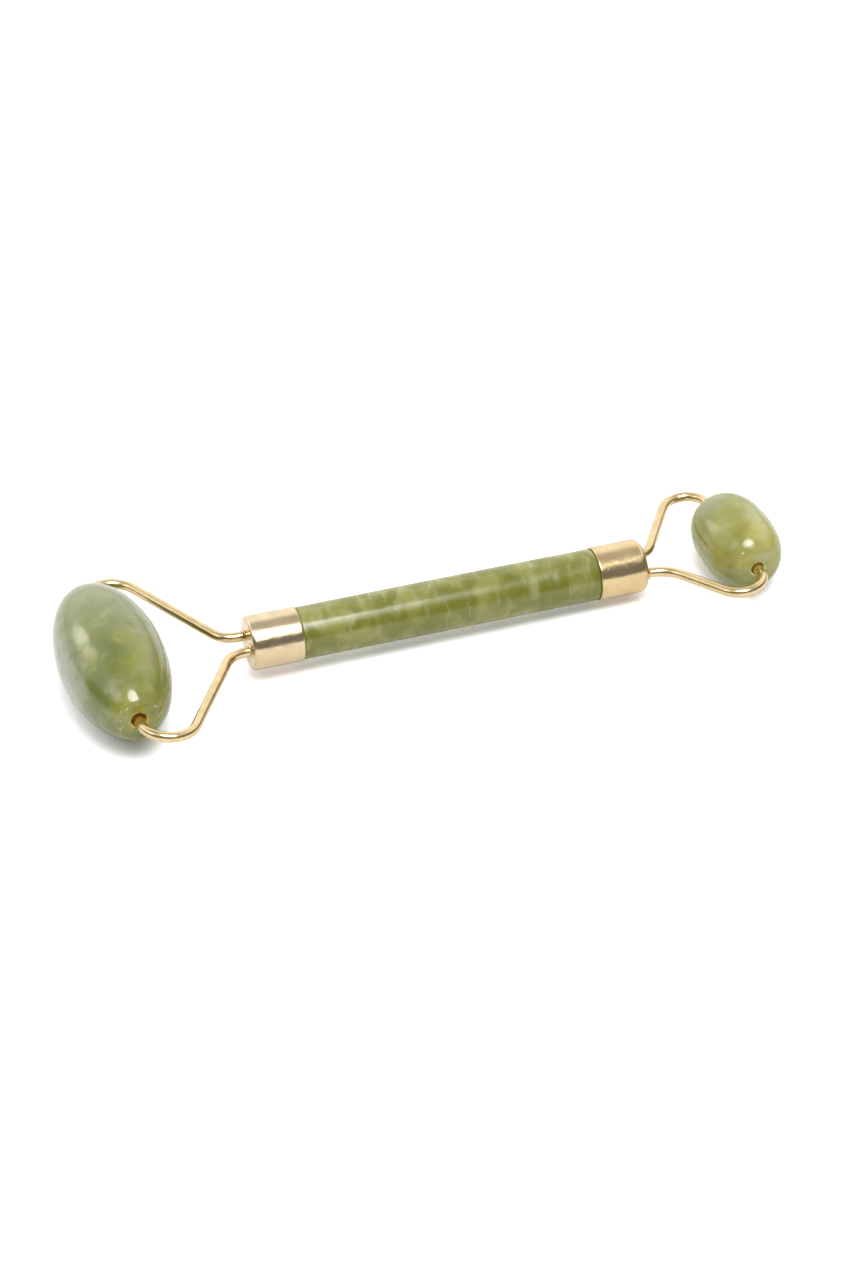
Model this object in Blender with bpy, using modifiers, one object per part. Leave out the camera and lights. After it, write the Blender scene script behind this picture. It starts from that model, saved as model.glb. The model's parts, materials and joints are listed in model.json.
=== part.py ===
"""Jade face roller: a jade handle with a gold-plated wire yoke and a jade roller at each end.

Everything is built in the handle's own frame, in millimetres: X runs along the handle, the
large roller is at -X, the small one at +X, Z is up and both axles run along Y. The rest
matrix then lays the tool down on its two rollers, with the lowest points at Z = 0.
"""
import math

import bpy
from mathutils import Matrix, Vector

MM = 0.001

# Handle: a jade rod, slightly swollen in the middle, turned down at both ends
HANDLE_SHOULDER_X = 29.4
HANDLE_END_R = 5.0
HANDLE_MID_R = 5.06
SPIGOT_R = 4.68
SPIGOT_END_X = 33.0
HANDLE_BORE_R = 1.6
SHOULDER_ROUND = 0.2

# Steel tie rod through the handle
ROD_R = 1.15
ROD_HALF = 36.4

# Ferrules: drawn cups over the handle's spigots
FERRULE_R = 5.25
FERRULE_WALL = 0.38
FERRULE_RIM_X = 29.53
FERRULE_END_X = 39.3
FERRULE_END_WALL = 0.6
LARGE_EDGE_ROUND = 0.65
SMALL_EDGE_ROUND = 1.25

# Plug in each ferrule: grips the wires and the tie rod
PLUG_R = 4.76
PLUG_INNER_X = 33.6
PLUG_OUTER_X = 38.6
PLUG_BORE_R = 1.23
PLUG_BORE_END_X = 36.9
PLUG_CHAMFER = 0.3

# Cured adhesive between the handle's end and the plug
BOND_R = 4.72
BOND_HOLE_R = 1.4
BOND_INNER_X = 33.06
BOND_OUTER_X = 33.54

# Wire of the yokes, with the clearance hole it passes through
WIRE_R = 1.0
WIRE_HOLE_R = 1.07
WIRE_START_X = 34.2

# Yoke wires, hand bent, so each arm has its own row: distance from the handle's axis at the
# ferrule, X of the first bend, Y of the sharp outer corner, radii of the bend and the hook
LARGE_WIRES = {"front": (2.55, 43.3, 40.9, 4.8, 5.05), "rear": (2.8, 43.3, 41.5, 4.2, 5.4)}
SMALL_WIRES = {"front": (3.3, 43.3, 28.2, 6.8, 4.55), "rear": (3.08, 41.85, 30.3, 4.0, 4.6)}
LARGE_PIN_END_Y = 11.5
SMALL_PIN_END_Y = 6.2
ARMS = (("front", -1), ("rear", 1))

# Large roller: belly radius, half length of its untrimmed barrel, exponents of the barrel's
# profile along its length and its radius, half length that its ends are ground flat to, and
# how sharply those flats meet the barrel
LARGE_R = 9.97
LARGE_HALF = 22.5
LARGE_LENGTH_POWER = 2.0
LARGE_RADIUS_POWER = 2.0
LARGE_GROUND_HALF = 20.6
LARGE_GROUND_POWER = 70
LARGE_BORE_R = 1.55
LARGE_AXLE_X = 65.2
LARGE_AXLE_Z = 2.4

# Small roller
SMALL_R = 7.6
SMALL_HALF = 11.75
SMALL_LENGTH_POWER = 2.5
SMALL_RADIUS_POWER = 2.35
SMALL_GROUND_HALF = 11.7
SMALL_GROUND_POWER = 14
SMALL_BORE_R = 1.42
SMALL_AXLE_X = 59.0
SMALL_AXLE_Z = 1.2

# Break of the bores' edges
MOUTH_BREAK = 0.15

# Nylon liners in the ends of the bores
LINER_GAP = 0.09
LINER_INNER_R = 1.08
LINER_RECESS = 2.0
LARGE_LINER_LENGTH = 8.5
SMALL_LINER_LENGTH = 5.0

# Facets
TURN_STEPS = 48
BORE_STEPS = 32
PROFILE_STEPS = 25
BEND_STEPS = 7
HOOK_STEPS = 14
WIRE_SIDES_RESOLUTION = 6

# Colours: name, base colour, metallic, roughness
JADE = ("jade", (0.33, 0.38, 0.14), 0.0, 0.2)
JADE_PALE = ("jade_pale", (0.42, 0.48, 0.24), 0.0, 0.2)
GOLD = ("gold_plate", (0.86, 0.68, 0.42), 1.0, 0.2)
BRASS = ("brass", (0.72, 0.55, 0.28), 1.0, 0.35)
STEEL = ("steel", (0.6, 0.6, 0.6), 1.0, 0.3)
NYLON = ("nylon", (0.75, 0.6, 0.35), 0.0, 0.5)
EPOXY = ("epoxy", (0.8, 0.78, 0.68), 0.0, 0.45)


def clear_scene():
    """Remove every object of the scene that Blender opened with."""
    for obj in list(bpy.data.objects):
        bpy.data.objects.remove(obj, do_unlink=True)


def new_collection(name):
    collection = bpy.data.collections.new(name)
    bpy.context.scene.collection.children.link(collection)
    return collection


def rest_matrix():
    """The lean and shift that lay both rollers on Z = 0, centred on the origin in X. Each
    rests on a facet, which is a little nearer to its axle than the belly radius."""
    to_facet = math.cos(math.pi / TURN_STEPS)
    large_r = LARGE_R * to_facet
    small_r = SMALL_R * to_facet
    span = Vector((SMALL_AXLE_X + LARGE_AXLE_X, 0.0, SMALL_AXLE_Z - LARGE_AXLE_Z))
    wanted = math.asin((small_r - large_r) / span.length)
    lean = math.atan2(span.z, span.x) - wanted
    turn = Matrix.Rotation(lean, 4, "Y")
    large = turn @ Vector((-LARGE_AXLE_X, 0.0, LARGE_AXLE_Z))
    small = turn @ Vector((SMALL_AXLE_X, 0.0, SMALL_AXLE_Z))
    centre_x = (large.x - large_r + small.x + small_r) / 2
    shift = Vector((-centre_x, 0.0, large_r - large.z)) * MM
    return Matrix.Translation(shift) @ turn


def paint(obj, look):
    """Give the object a material of its own."""
    name, colour, metallic, roughness = look
    material = bpy.data.materials.new(obj.name + "_" + name)
    material.use_nodes = True
    shader = material.node_tree.nodes["Principled BSDF"]
    shader.inputs["Base Color"].default_value = (*colour, 1.0)
    shader.inputs["Metallic"].default_value = metallic
    shader.inputs["Roughness"].default_value = roughness
    material.diffuse_color = (*colour, 1.0)
    obj.data.materials.append(material)


def turned(name, profile, matrix, look, collection, steps=TURN_STEPS, ring=False):
    """A solid of revolution about local Z. The profile lists (radius, height) in millimetres
    down the outer side from top to bottom; a ring's profile closes on itself."""
    points = [(radius * MM, 0.0, height * MM) for radius, height in profile]
    edges = [(i, i + 1) for i in range(len(points) - 1)]
    if ring:
        edges.append((len(points) - 1, 0))
    mesh = bpy.data.meshes.new(name)
    mesh.from_pydata(points, edges, [])
    obj = bpy.data.objects.new(name, mesh)
    obj.matrix_world = matrix
    collection.objects.link(obj)
    screw = obj.modifiers.new("turn", "SCREW")
    screw.axis = "Z"
    screw.steps = steps
    screw.render_steps = steps
    screw.use_merge_vertices = True
    screw.merge_threshold = 0.00001
    screw.use_smooth_shade = True
    if look:
        paint(obj, look)
    return obj


def tube(name, points, matrix, look, collection):
    """A round wire with flat ends along the points, in millimetres."""
    curve = bpy.data.curves.new(name, "CURVE")
    curve.dimensions = "3D"
    curve.bevel_depth = WIRE_R * MM
    curve.bevel_resolution = WIRE_SIDES_RESOLUTION
    curve.use_fill_caps = True
    spline = curve.splines.new("POLY")
    spline.points.add(len(points) - 1)
    for target, point in zip(spline.points, points):
        target.co = (point.x * MM, point.y * MM, point.z * MM, 1.0)
    obj = bpy.data.objects.new(name, curve)
    obj.matrix_world = matrix
    collection.objects.link(obj)
    paint(obj, look)
    return obj


def bend(before, corner, after, radius, steps):
    """Points of the arc of the given radius that rounds a corner of a wire."""
    to_before = (before - corner).normalized()
    to_after = (after - corner).normalized()
    half = to_before.angle(to_after) / 2
    centre = corner + (to_before + to_after).normalized() * radius / math.sin(half)
    first = corner + to_before * radius / math.tan(half) - centre
    last = corner + to_after * radius / math.tan(half) - centre
    turn = math.pi - 2 * half
    axis = first.cross(last)
    return [centre + Matrix.Rotation(turn * i / steps, 3, axis) @ first for i in range(steps + 1)]


def cut(target, cutter):
    modifier = target.modifiers.new("hole", "BOOLEAN")
    modifier.operation = "DIFFERENCE"
    modifier.solver = "EXACT"
    modifier.object = cutter


def hidden_cutter(name, profile, matrix, collection):
    cutter = turned(name, profile, matrix, None, collection, steps=BORE_STEPS)
    cutter.hide_render = True
    cutter.display_type = "WIRE"
    return cutter


def quarter(radius, centre_r, centre_h, steps=5):
    """Points of a quarter circle from the top of a rounded edge to its side."""
    angles = [math.pi / 2 * (1 - i / steps) for i in range(steps + 1)]
    return [(centre_r + radius * math.cos(a), centre_h + radius * math.sin(a)) for a in angles]


def outward(side):
    """Local Z along the handle's axis, pointing away from the handle's middle."""
    return Matrix.Rotation(side * math.pi / 2, 4, "Y")


def build_handle(rest, parts):
    shoulder = HANDLE_SHOULDER_X
    profile = [(SPIGOT_R - 0.2, SPIGOT_END_X), (SPIGOT_R, SPIGOT_END_X - 0.2)]
    profile.append((SPIGOT_R, shoulder))
    profile += quarter(SHOULDER_ROUND, HANDLE_END_R - SHOULDER_ROUND, shoulder - SHOULDER_ROUND, 3)
    swell = HANDLE_MID_R - HANDLE_END_R
    for i in range(1, 6):
        x = shoulder * (1 - i / 6)
        profile.append((HANDLE_END_R + swell * (1 - (x / shoulder) ** 2), x))
    profile.append((HANDLE_MID_R, 0.0))
    mirrored = [(radius, -height) for radius, height in reversed(profile[:-1])]
    profile += mirrored
    profile += [(HANDLE_BORE_R, -SPIGOT_END_X), (HANDLE_BORE_R, SPIGOT_END_X)]
    turned("handle", profile, rest @ outward(1), JADE, parts, ring=True)

    rod = [(0.0, ROD_HALF), (ROD_R - 0.2, ROD_HALF), (ROD_R, ROD_HALF - 0.2)]
    rod += [(radius, -height) for radius, height in reversed(rod)]
    turned("tie_rod", rod, rest @ outward(1), STEEL, parts, steps=BORE_STEPS)


def build_ferrule(end, side, edge_round, wires, rest, parts, cutters):
    """The cup, the plug and the adhesive disc at one end of the handle."""
    matrix = rest @ outward(side)
    inner = FERRULE_R - FERRULE_WALL
    floor = FERRULE_END_X - FERRULE_END_WALL
    cup = [(0.0, FERRULE_END_X)]
    cup += quarter(edge_round, FERRULE_R - edge_round, FERRULE_END_X - edge_round)
    cup += [(FERRULE_R, FERRULE_RIM_X + 0.1), (FERRULE_R - 0.1, FERRULE_RIM_X)]
    cup += [(inner, FERRULE_RIM_X), (inner, floor - 0.2), (inner - 0.2, floor), (0.0, floor)]
    ferrule = turned(end + "_ferrule", cup, matrix, GOLD, parts)

    body = [(0.0, PLUG_OUTER_X), (PLUG_R - edge_round, PLUG_OUTER_X)]
    body += [(PLUG_R, PLUG_OUTER_X - edge_round), (PLUG_R, PLUG_INNER_X + PLUG_CHAMFER)]
    body += [(PLUG_R - PLUG_CHAMFER, PLUG_INNER_X), (PLUG_BORE_R, PLUG_INNER_X)]
    body += [(PLUG_BORE_R, PLUG_BORE_END_X), (0.0, PLUG_BORE_END_X + 0.5)]
    plug = turned(end + "_ferrule_plug", body, matrix, BRASS, parts, steps=BORE_STEPS)

    disc = [(BOND_R, BOND_OUTER_X), (BOND_R, BOND_INNER_X)]
    disc += [(BOND_HOLE_R, BOND_INNER_X), (BOND_HOLE_R, BOND_OUTER_X)]
    turned(end + "_adhesive_bond", disc, matrix, EPOXY, parts, steps=BORE_STEPS, ring=True)

    start, stop = PLUG_INNER_X - 1.0, FERRULE_END_X + 1.0
    drill = [(0.0, stop), (WIRE_HOLE_R, stop), (WIRE_HOLE_R, start), (0.0, start)]
    for place, sign in ARMS:
        hole = Matrix.Translation((0.0, sign * wires[place][0] * MM, 0.0))
        name = end + "_" + place + "_wire_hole"
        cutter = hidden_cutter(name, drill, rest @ hole @ outward(side), cutters)
        cut(ferrule, cutter)
        cut(plug, cutter)


def build_yoke(end, side, wires, pin_end_y, axle, rest, parts):
    """Two bent wires: straight out of the ferrule, away to the side, hooked back as a pin."""
    axle_x, axle_z = axle
    for place, sign in ARMS:
        wire_y, bend_x, corner_y, bend_r, hook_r = wires[place]
        start = Vector((side * WIRE_START_X, sign * wire_y, 0.0))
        first = Vector((side * bend_x, sign * wire_y, 0.0))
        corner = Vector((side * axle_x, sign * corner_y, axle_z))
        pin_end = Vector((side * axle_x, sign * pin_end_y, axle_z))
        points = [start, start.lerp(first, 0.4)]
        points += bend(start, first, corner, bend_r, BEND_STEPS)
        points += bend(first, corner, pin_end, hook_r, HOOK_STEPS)
        points += [points[-1].lerp(pin_end, 0.5), pin_end]
        tube(end + "_yoke_" + place + "_arm", points, rest, GOLD, parts)


def barrel(stone, mouth_r):
    """Outer side of a barrel's profile between the mouths of its bore, top to bottom."""
    radius, half, length_power, radius_power, ground_half, ground_power = stone
    reach = (1 - (mouth_r / radius) ** radius_power) ** (1 / length_power)
    tip = math.acos(reach)
    points = []
    for i in range(PROFILE_STEPS + 1):
        height = half * math.cos(tip + (math.pi - 2 * tip) * i / PROFILE_STEPS)
        share = 1 - abs(height / half) ** length_power
        ground = (1 + abs(height / ground_half) ** ground_power) ** (1 / ground_power)
        points.append((radius * share ** (1 / radius_power), height / ground))
    return points


def build_roller(end, side, stone, bore_r, axle, liner_length, rest, parts):
    """A drilled jade barrel and the two liners in its bore, on one axle."""
    axle_x, axle_z = axle
    axle_at = rest @ Vector((side * axle_x * MM, 0.0, axle_z * MM))
    pivot = bpy.data.objects.new(end + "_axle", None)
    pivot.location = axle_at
    pivot.empty_display_size = 0.005
    parts.objects.link(pivot)
    along_axle = Matrix.Rotation(-math.pi / 2, 4, "X")
    facet_down = Matrix.Rotation(math.pi / TURN_STEPS, 4, "Z")
    matrix = Matrix.Translation(axle_at) @ along_axle @ facet_down

    profile = barrel(stone, bore_r + MOUTH_BREAK)
    mouth = profile[0][1]
    step_in = mouth - MOUTH_BREAK
    profile += [(bore_r, -step_in), (bore_r, step_in)]
    pieces = [turned(end + "_roller", profile, matrix, JADE_PALE, parts, ring=True)]

    outer_h = mouth - LINER_RECESS
    inner_h = outer_h - liner_length
    liner_r = bore_r - LINER_GAP
    for place, sign in ARMS:
        top, bottom = max(sign * outer_h, sign * inner_h), min(sign * outer_h, sign * inner_h)
        sleeve = [(liner_r, top), (liner_r, bottom)]
        sleeve += [(LINER_INNER_R, bottom), (LINER_INNER_R, top)]
        name = end + "_" + place + "_liner"
        pieces.append(turned(name, sleeve, matrix, NYLON, parts, steps=BORE_STEPS, ring=True))
    for piece in pieces:
        piece.parent = pivot
        piece.matrix_parent_inverse = Matrix.Translation(-axle_at)


def build():
    clear_scene()
    parts = new_collection("jade_face_roller")
    cutters = new_collection("cutters")
    rest = rest_matrix()
    large_axle = (LARGE_AXLE_X, LARGE_AXLE_Z)
    small_axle = (SMALL_AXLE_X, SMALL_AXLE_Z)
    large_stone = (LARGE_R, LARGE_HALF, LARGE_LENGTH_POWER, LARGE_RADIUS_POWER)
    large_stone += (LARGE_GROUND_HALF, LARGE_GROUND_POWER)
    small_stone = (SMALL_R, SMALL_HALF, SMALL_LENGTH_POWER, SMALL_RADIUS_POWER)
    small_stone += (SMALL_GROUND_HALF, SMALL_GROUND_POWER)

    build_handle(rest, parts)
    build_ferrule("large", -1, LARGE_EDGE_ROUND, LARGE_WIRES, rest, parts, cutters)
    build_ferrule("small", 1, SMALL_EDGE_ROUND, SMALL_WIRES, rest, parts, cutters)
    build_yoke("large", -1, LARGE_WIRES, LARGE_PIN_END_Y, large_axle, rest, parts)
    build_yoke("small", 1, SMALL_WIRES, SMALL_PIN_END_Y, small_axle, rest, parts)
    large_liner, small_liner = LARGE_LINER_LENGTH, SMALL_LINER_LENGTH
    build_roller("large", -1, large_stone, LARGE_BORE_R, large_axle, large_liner, rest, parts)
    build_roller("small", 1, small_stone, SMALL_BORE_R, small_axle, small_liner, rest, parts)


build()
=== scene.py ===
"""Looks for the jade face roller: finely shaped stones, handle, ferrules and wires that stand
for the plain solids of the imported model, their materials, the camera, the floor and the light.

Lengths are in millimetres in the handle's own frame unless a name says otherwise: X runs along
the handle, the large roller is at -X, the small one at +X, and Z is up.
"""
import json
import math
import random

import bpy
from mathutils import Matrix, Vector, noise


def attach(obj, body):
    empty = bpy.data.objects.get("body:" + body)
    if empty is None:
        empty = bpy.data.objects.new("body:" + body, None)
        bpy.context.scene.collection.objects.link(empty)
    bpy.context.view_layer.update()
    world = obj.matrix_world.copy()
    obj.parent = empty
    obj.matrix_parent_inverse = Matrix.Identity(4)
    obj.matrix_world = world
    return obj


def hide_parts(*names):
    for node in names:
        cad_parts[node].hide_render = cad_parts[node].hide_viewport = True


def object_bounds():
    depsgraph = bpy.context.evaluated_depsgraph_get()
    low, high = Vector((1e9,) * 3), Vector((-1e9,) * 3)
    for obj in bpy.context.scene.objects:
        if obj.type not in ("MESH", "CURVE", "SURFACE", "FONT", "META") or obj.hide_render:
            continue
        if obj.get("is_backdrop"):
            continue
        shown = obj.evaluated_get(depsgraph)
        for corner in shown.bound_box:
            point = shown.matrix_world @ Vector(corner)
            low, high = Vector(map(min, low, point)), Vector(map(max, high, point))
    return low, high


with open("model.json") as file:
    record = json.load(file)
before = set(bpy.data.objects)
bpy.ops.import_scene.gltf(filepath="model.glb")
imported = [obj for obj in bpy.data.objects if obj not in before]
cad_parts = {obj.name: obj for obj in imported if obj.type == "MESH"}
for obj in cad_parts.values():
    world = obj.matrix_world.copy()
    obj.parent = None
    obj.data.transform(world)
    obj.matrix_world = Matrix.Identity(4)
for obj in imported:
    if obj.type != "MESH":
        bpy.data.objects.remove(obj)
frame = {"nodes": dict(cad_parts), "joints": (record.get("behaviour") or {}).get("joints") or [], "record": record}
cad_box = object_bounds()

MM = 0.001
SIDES = {"large": -1, "small": 1}
ARMS = {"front": -1, "rear": 1}

# ---- handle ----
HANDLE_SHOULDER_X = 29.4
HANDLE_END_R = 5.0
HANDLE_MID_R = 5.06
HANDLE_BORE_R = 1.6
SHOULDER_ROUND = 0.2
SPIGOT_R = 4.68
SPIGOT_END_X = 33.0
SPIGOT_CHAMFER = 0.2

# ---- ferrules ----
FERRULE_R = 5.25
FERRULE_INNER_R = 4.87
FERRULE_RIM_X = 29.53
FERRULE_END_X = 39.3
FERRULE_FLOOR_X = 38.7
FERRULE_EDGE_ROUND = {"large": 0.65, "small": 1.25}
FERRULE_SEED = {"large": 2.0, "small": 7.0}
RIM_ROUND = 0.18
RIM_CHAMFER = 0.1
FLOOR_FILLET = 0.2
# Holes in the ferrule's end that the wires go in through
SOCKET_R = 1.02
SOCKET_TOP_X = 41.0
SOCKET_BOTTOM_X = 37.0
# Solder that creeps up each wire: height, spread and fall-off of the rim, strength and size of
# its lumps
SOLDER_HEIGHT = 0.42
SOLDER_SPREAD = 0.24
SOLDER_POWER = 1.5
SOLDER_LUMPS = 0.5
SOLDER_LUMP_SIZE = 0.8

# ---- wires ----
WIRE_R = 1.0
WIRE_START_X = 34.2
WIRE_STEP = 0.35
EASING_PASSES = 8
# Distance from the handle's axis at the ferrule, X of the first bend, Y of the sharp outer
# corner, radius of the bend, radius of the hook
WIRES = {
    "large": {"front": (2.55, 43.3, 40.9, 4.8, 5.05), "rear": (2.8, 43.3, 41.5, 4.2, 5.4)},
    "small": {"front": (3.3, 43.3, 28.2, 6.8, 4.55), "rear": (3.08, 41.85, 30.3, 4.0, 4.6)},
}
PIN_END_Y = {"large": 11.5, "small": 6.2}
# X away from the handle's middle, and Z
AXLE_PLACE = {"large": (65.2, 2.4), "small": (59.0, 1.2)}
WIRE_SEED = {"large": 12.0, "small": 17.0}

# ---- stones ----
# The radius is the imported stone's radius at the middle of a facet. The powers shape the barrel
# along its length and across it. The ends are ground off at ground_half, the more sharply the
# higher ground_power is, and worn in chips along the arris that this leaves, arris_r from the
# axle. A pit is a place in the stone's frame, a size and a depth
STONES = {
    "large": {
        "radius": 9.945, "half": 22.5, "length_power": 2.0, "radius_power": 2.0,
        "ground_half": 20.6, "ground_power": 200, "bore_r": 1.55, "arris_r": 3.9,
        "pits": [(Vector((0.2, -9.3, -7.3)), 0.3, 0.09)], "seed": 21,
    },
    "small": {
        "radius": 7.58, "half": 11.75, "length_power": 2.5, "radius_power": 2.35,
        "ground_half": 11.7, "ground_power": 14, "bore_r": 1.42, "arris_r": 4.6,
        "pits": [], "seed": 33,
    },
}
MOUTH_CHAMFER = 0.12
CHIPS_PER_END = 9
CHIP_SCATTER = 0.4
CHIP_SIZES = (0.18, 0.34)
CHIP_DEPTHS = (0.05, 0.12)
# Chipped edge of the bore: how far it reaches, size and depth of its chips, their least depth
# and how deep they go along the axle for their width
EDGE_REACH = 0.16
EDGE_CHIP_SIZE = 0.55
EDGE_CHIP_DEPTH = 0.30
EDGE_WORN = 0.02
EDGE_SLOPE = 0.35

# ---- fineness and unevenness of the surfaces ----
HANDLE_SIDES, HANDLE_ROWS = 144, 70
FERRULE_SIDES, FERRULE_ROWS = 192, 36
FERRULE_END_STEP = 0.1
SOCKET_SIDES = 48
WIRE_SIDES = 32
BEND_STEPS, HOOK_STEPS = 20, 48
STONE_SIDES, STONE_ROWS = 176, 200
# Layers of smooth waviness: depth, size and step of the seed. Each surface is set back a
# little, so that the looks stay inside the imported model's box
HANDLE_WAVES = ((0.020, 5.0, 0.0), (0.006, 1.8, 5.2))
HANDLE_SEED = 3.1
HANDLE_SET_BACK = 0.012
FERRULE_WAVES = ((0.012, 2.4, 0), (0.010, 1.1, 5), (0.003, 0.4, 8))
FERRULE_SET_BACK = 0.025
FERRULE_END_WAVES = ((0.02, 2.0, 3),)
FERRULE_END_SET_BACK = 0.02
WIRE_WAVES = ((0.010, 0.9, 0),)
WIRE_SET_BACK = 0.024
STONE_WAVES = ((0.035, 7.0, 0), (0.010, 2.5, 4))
STONE_SET_BACK = 0.03

# ---- camera, in the handle's frame ----
# The sensor is measured along the picture's long side
LENS_MM = 94.7776
SENSOR_MM = 36
CAMERA_AZIMUTH = math.radians(-17.451)
CAMERA_ELEVATION = math.radians(33.903)
CAMERA_ROLL = math.radians(-1.589)
CAMERA_OFFSET = (-3.645, -7.298, 640.589)
CLIP_START_M, CLIP_END_M = 0.05, 20.0

# ---- floor and light ----
FLOOR_HALF_M = 3.0
FLOOR_WHITE = (0.88, 0.87, 0.86)
# The camera sees the floor about 1.5 times as bright as it is to the object, like a backdrop
# lit until it bleaches to plain white
BLEACHED_WHITE = (1.33, 1.33, 1.40)
FLOOR_ROUGHNESS = 0.8
FLOOR_SPECULAR = 0.1
# Azimuth (0 is +Y, 90 is +X) and elevation of a lamp, its width and height as seen from the
# object, all in degrees, then its brightness and its distance in metres
LAMPS = {
    "key_light": (172, 58, 22, 43, 3.0, 1.5),
    "key_core": (187, 64, 32, 26, 7.8, 1.4),
    "left_light": (-100, 42, 20, 28, 1.15, 1.0),
    "back_left_light": (-36, 22, 12, 22, 1.6, 1.0),
}
# The room that the object mirrors: bright towards the back and up, round a direction with this
# tilt in degrees, dim at the front, and dimmer again straight overhead. BACKDROP_SPAN is in
# cosines of the angle to that direction, CEILING_SPAN in sines of the elevation
BACKDROP_TILT = 60
BACKDROP_SPAN = (0.28, 0.58)
FRONT_BRIGHTNESS, BACKDROP_BRIGHTNESS = 0.22, 1.34
CEILING_SPAN = (0.70, 0.93)
CEILING_SHARE = 0.45
WHITE = (1.0, 1.0, 1.0, 1.0)

# ---- colours ----
DEEP = (0.125, 0.158, 0.022)
OLIVE = (0.180, 0.203, 0.032)
SAGE = (0.195, 0.218, 0.070)
PALE = (0.260, 0.278, 0.135)
# Painted reflection: the sheen of the pale room on the large stone's left side
PAINTED_SHEEN_GREY = (0.310, 0.322, 0.240)
YELLOW = (0.245, 0.255, 0.036)
GLOW = (0.315, 0.305, 0.045)
LEMON = (0.480, 0.450, 0.140)
MILKY = (0.385, 0.398, 0.195)
CHIP = (0.950, 0.930, 0.780)
BROWN = (0.220, 0.170, 0.060)
# Painted glow for the bores: bright colours for light through the jade and the gold wire it mirrors
BORE_GLOW_AMBER = (0.800, 0.600, 0.110)
BORE_GLOW_HONEY = (0.950, 0.900, 0.600)
GRASS = (0.235, 0.238, 0.024)
PEAR = (0.350, 0.340, 0.095)
MOSS = (0.180, 0.188, 0.016)
LEAF = (0.285, 0.285, 0.068)
PALE_GOLD = ((0.740, 0.605, 0.395), (0.650, 0.515, 0.315))
WARM_GOLD = ((0.760, 0.600, 0.345), (0.670, 0.510, 0.270))

# ---- jade ----
JADE_IOR = 1.63
JADE_GLOW_WEIGHT = 0.8
JADE_GLOW_RADIUS = (1.0, 0.9, 0.35)
STONE_GLOW, HANDLE_GLOW = 1.3, 1.0
HANDLE_ROUGHNESS = 0.19
# Soft patches of colour, some of them painted light and shade as noted: centre, size, colour,
# strength. Those of the stones are in the model's frame, those of the handle in its own
LARGE_MARKS = [
    ((-63.0, 12.0, 14.0), (10.0, 10.0, 9.0), PALE, 0.25),
    # painted reflection: a grey sheen down the large stone's left side
    ((-70.5, -3.0, 11.0), (4.2, 16.0, 8.0), PAINTED_SHEEN_GREY, 0.9),
    ((-53.5, -8.0, 13.0), (2.5, 14.0, 6.0), SAGE, 0.6),
    ((-57.5, -11.0, 17.5), (5.0, 9.0, 6.0), YELLOW, 0.85),
    ((-61.0, -19.5, 11.5), (5.5, 3.5, 6.0), GLOW, 0.85),
    # painted shade: darker at the lower left front, where the stone mirrors its own shadow on the floor
    ((-67.5, -16.5, 7.5), (6.0, 6.0, 5.0), DEEP, 0.80),
    ((-62.5, -8.5, 19.0), (4.0, 6.0, 3.6), DEEP, 0.85),
    ((-66.6, -14.5, 14.5), (3.4, 5.0, 5.0), DEEP, 0.75),
    ((-60.2, -6.5, 19.3), (2.0, 2.2, 2.4), GRASS, 0.8),
    # partly a milky vein in the stone, partly a painted reflection of the light from the left
    ((-66.6, -4.5, 17.6), (1.7, 7.0, 3.0), MILKY, 0.8),
    ((-55.8, -12.0, 16.6), (1.0, 2.6, 1.4), BROWN, 0.6),
    ((-57.2, -17.6, 15.0), (0.9, 1.3, 1.2), BROWN, 0.5),
]
SMALL_MARKS = [
    # painted light: the small stone's right side lighter and yellower, as if lit from the front right
    ((65.5, -7.0, 12.5), (4.5, 7.0, 5.0), LEMON, 0.85),
    ((68.0, 0.0, 9.0), (3.0, 7.0, 4.0), SAGE, 0.5),
    ((59.8, 4.5, 13.8), (4.0, 4.0, 4.0), PALE, 0.7),
    ((56.8, -5.5, 10.0), (3.0, 5.0, 5.0), PEAR, 0.7),
    ((61.8, -1.5, 15.0), (2.8, 3.5, 2.5), GRASS, 0.8),
    ((60.5, -10.5, 9.0), (2.5, 2.5, 2.5), LEMON, 0.5),
    ((66.5, -2.5, 14.3), (2.4, 4.0, 2.6), MILKY, 0.5),
    ((65.0, -10.7, 10.2), (2.8, 0.9, 1.5), MILKY, 0.7),
    ((59.0, -10.0, 5.0), (4.0, 3.0, 3.0), SAGE, 0.6),
]
HANDLE_MARKS = [
    ((-23.0, -2.0, 4.0), (4.0, 5.0, 3.0), LEAF, 0.6),
    ((-13.0, -3.5, 3.5), (2.4, 4.0, 4.0), MOSS, 0.9),
    ((-7.5, -3.5, 3.5), (1.6, 5.0, 5.0), LEAF, 0.6),
    ((-1.0, -3.0, 4.0), (2.2, 4.0, 4.0), MOSS, 0.8),
    ((7.9, -4.5, 2.0), (1.8, 2.5, 2.5), MOSS, 0.8),
    ((13.4, -4.0, 3.0), (1.5, 2.5, 2.5), MOSS, 0.8),
    ((16.0, -4.0, 3.0), (1.3, 4.0, 4.0), MILKY, 0.5),
    ((21.2, -3.5, 3.5), (2.0, 4.5, 4.5), MOSS, 0.9),
    ((26.5, -3.5, 3.5), (2.0, 5.0, 5.0), LEAF, 0.6),
]
# Tones of a stone's clouds, painted glow inside its bore, strength of its dark veins and pale chips
STONE_LOOKS = {
    "large": {"tones": (OLIVE, SAGE), "bore_painted_glow": BORE_GLOW_AMBER, "veins": 0.55, "chips": 0.55,
              "roughness": 0.13, "marks": LARGE_MARKS},
    "small": {"tones": (GRASS, PEAR), "bore_painted_glow": BORE_GLOW_HONEY, "veins": 0.25, "chips": 0.3,
              "roughness": 0.17, "marks": SMALL_MARKS},
}
# A mark fades from full strength to nothing between these shares of its size
MARK_FADE = (0.3, 1.2)
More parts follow.
